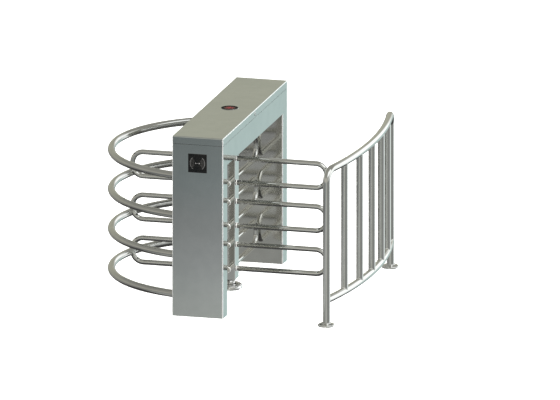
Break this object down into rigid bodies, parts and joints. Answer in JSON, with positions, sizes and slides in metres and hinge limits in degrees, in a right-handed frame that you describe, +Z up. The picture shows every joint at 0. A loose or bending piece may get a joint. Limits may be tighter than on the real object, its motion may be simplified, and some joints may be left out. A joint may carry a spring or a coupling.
{
  "type": "visitor counter turnstile",
  "caption": "Half-height turnstile with a hairpin-arm rotor under a bridge cabinet, a hoop cage on one side and a curved guard rail on the other.",
  "frame": {"origin": "on the floor at the rotor axis, centre of the floor bearing's underside", "axes": "+Z up along the rotor axis; +X from the cabinet across the passage to the guard rail; +Y along the cabinet away from the card reader"},
  "size_m": [1.4465, 1.386, 0.987],
  "materials": {
    "cabinet_sheet": "satin",
    "bent_tube": "polished",
    "polished_column": "polished",
    "bright_turned": "polished",
    "machined_steel": "machined",
    "dark_window": "gloss",
    "black_plastic": "matte",
    "indicator_red": "gloss",
    "board_green": "matte",
    "zinc_case": "satin",
    "coil": "matte"
  },
  "bodies": {
    "housing": {"front_leg": "cabinet_sheet", "rear_leg": "cabinet_sheet", "beam_housing": "cabinet_sheet", "front_base_plate": "machined_steel", "rear_base_plate": "machined_steel", "mounting_plate": "machined_steel", "upper_bearing_housing": "machined_steel", "upper_bearing": "machined_steel", "floor_bearing_base": "bright_turned", "floor_bearing": "machined_steel", "hoop_1": "bent_tube", "hoop_2": "bent_tube", "hoop_3": "bent_tube", "hoop_4": "bent_tube", "guard_frame": "bent_tube", "guard_bottom_rail": "bent_tube", "guard_bar_1": "bent_tube", "guard_bar_2": "bent_tube", "guard_bar_3": "bent_tube", "guard_bar_4": "bent_tube", "guard_bar_5": "bent_tube", "guard_foot_front": "bright_turned", "guard_foot_rear": "bright_turned", "reader_window": "dark_window", "reader_module": "black_plastic", "control_board": "board_green", "power_supply": "zinc_case", "pass_counter": "black_plastic", "optical_sensor": "black_plastic", "solenoid_a": "coil", "solenoid_b": "coil", "pawl_pin_a": "bright_turned", "pawl_pin_b": "bright_turned", "lid_hinge": "machined_steel"},
    "rotor": {"rotor_column": "polished_column", "rotor_shaft": "machined_steel", "foot_spindle": "polished_column", "index_disc": "machined_steel", "encoder_disc": "black_plastic", "wing_1_low": "bent_tube", "wing_1_mid": "bent_tube", "wing_1_top": "bent_tube", "wing_2_low": "bent_tube", "wing_2_mid": "bent_tube", "wing_2_top": "bent_tube", "wing_3_low": "bent_tube", "wing_3_mid": "bent_tube", "wing_3_top": "bent_tube", "wing_4_low": "bent_tube", "wing_4_mid": "bent_tube", "wing_4_top": "bent_tube"},
    "lid": {"lid_cover": "cabinet_sheet", "indicator_bezel": "black_plastic", "indicator_lens": "indicator_red", "lock_barrel": "bright_turned"},
    "lock": {"lock_plug": "machined_steel"},
    "pawl_a": {"pawl_a": "machined_steel"},
    "pawl_b": {"pawl_b": "machined_steel"},
    "plunger_a": {"plunger_a": "bright_turned"},
    "plunger_b": {"plunger_b": "bright_turned"}
  },
  "joints": [
    {"name": "rotor_turn", "type": "hinge", "parent": "housing", "child": "rotor", "pos_m": [0, 0, 0.43], "axis": [0, 0, 1], "continuous": true},
    {"name": "lid_open", "type": "hinge", "parent": "housing", "child": "lid", "pos_m": [-0.14, 0, 0.942], "axis": [0, -1, 0], "range_deg": [0, 90]},
    {"name": "lock_turn", "type": "hinge", "parent": "lid", "child": "lock", "pos_m": [0.13, 0, 0.961], "axis": [-1, 0, 0], "range_deg": [0, 90]},
    {"name": "pawl_a_swing", "type": "hinge", "parent": "housing", "child": "pawl_a", "pos_m": [0.085, 0.09, 0.877], "axis": [0, 0, 1], "range_deg": [0, 8], "stiffness_Nm_per_rad": 0.6},
    {"name": "pawl_b_swing", "type": "hinge", "parent": "housing", "child": "pawl_b", "pos_m": [0.085, -0.09, 0.877], "axis": [0, 0, -1], "range_deg": [0, 8], "stiffness_Nm_per_rad": 0.6},
    {"name": "plunger_a_push", "type": "slide", "parent": "housing", "child": "plunger_a", "axis": [0, -1, 0], "range_m": [0, 0.0068]},
    {"name": "plunger_b_push", "type": "slide", "parent": "housing", "child": "plunger_b", "axis": [0, 1, 0], "range_m": [0, 0.0068]}
  ],
  "couplings": [
    {"joint": "plunger_a_push", "follows": "pawl_a_swing", "m_per_rad": 0.0486},
    {"joint": "plunger_b_push", "follows": "pawl_b_swing", "m_per_rad": 0.0486}
  ]
}
